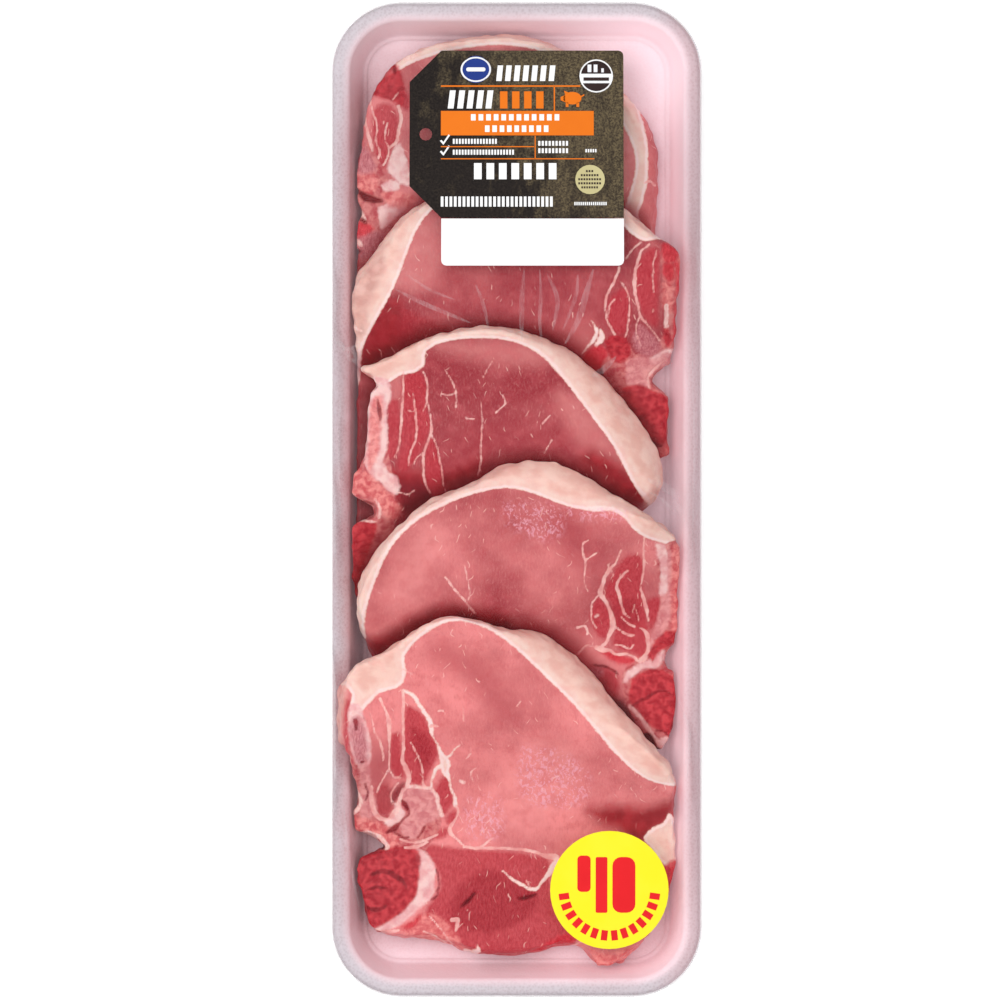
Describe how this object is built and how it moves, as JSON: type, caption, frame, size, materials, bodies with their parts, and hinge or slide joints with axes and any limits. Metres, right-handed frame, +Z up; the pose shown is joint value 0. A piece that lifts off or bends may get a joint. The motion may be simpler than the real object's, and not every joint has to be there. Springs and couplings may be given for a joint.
{
  "type": "meat tray pack",
  "caption": "Bone-in pork loin chops laid like shingles in a long white foam tray, sealed in clear stretch film with a card label and a round sticker.",
  "frame": {"origin": "middle of the pack's plan at the underside of the tray's foot", "axes": "+X across the tray to the right, +Y along the tray towards the card label, +Z up"},
  "size_m": [0.146, 0.392, 0.054],
  "materials": {
    "foam": "white expanded foam, faint pink tint",
    "lean": "moist raw pork lean with pale seams",
    "fat": "pale pink-cream pork fat, satin",
    "bone": "sawn bone face, red marrow",
    "film": "clear stretch film, glossy",
    "card": "dark printed card",
    "paper": "white label paper",
    "orange": "printed orange",
    "blue": "printed blue",
    "cream": "printed cream",
    "yellow": "yellow sticker paper"
  },
  "bodies": {
    "root": {"tray": "foam", "chop_1_lean": "lean", "chop_1_fat": "fat", "chop_1_bone": "bone", "chop_2_lean": "lean", "chop_2_fat": "fat", "chop_2_bone": "bone", "chop_3_lean": "lean", "chop_3_fat": "fat", "chop_3_bone": "bone", "chop_4_lean": "lean", "chop_4_fat": "fat", "chop_4_bone": "bone", "chop_5_lean": "lean", "chop_5_fat": "fat", "chop_5_bone": "bone", "film": "film", "label_tag": "card", "label_panel": "paper", "label_band": "orange", "label_badge_blue": "blue", "label_badge_white": "paper", "label_badge_cream": "cream", "price_sticker": "yellow"}
  },
  "joints": []
}
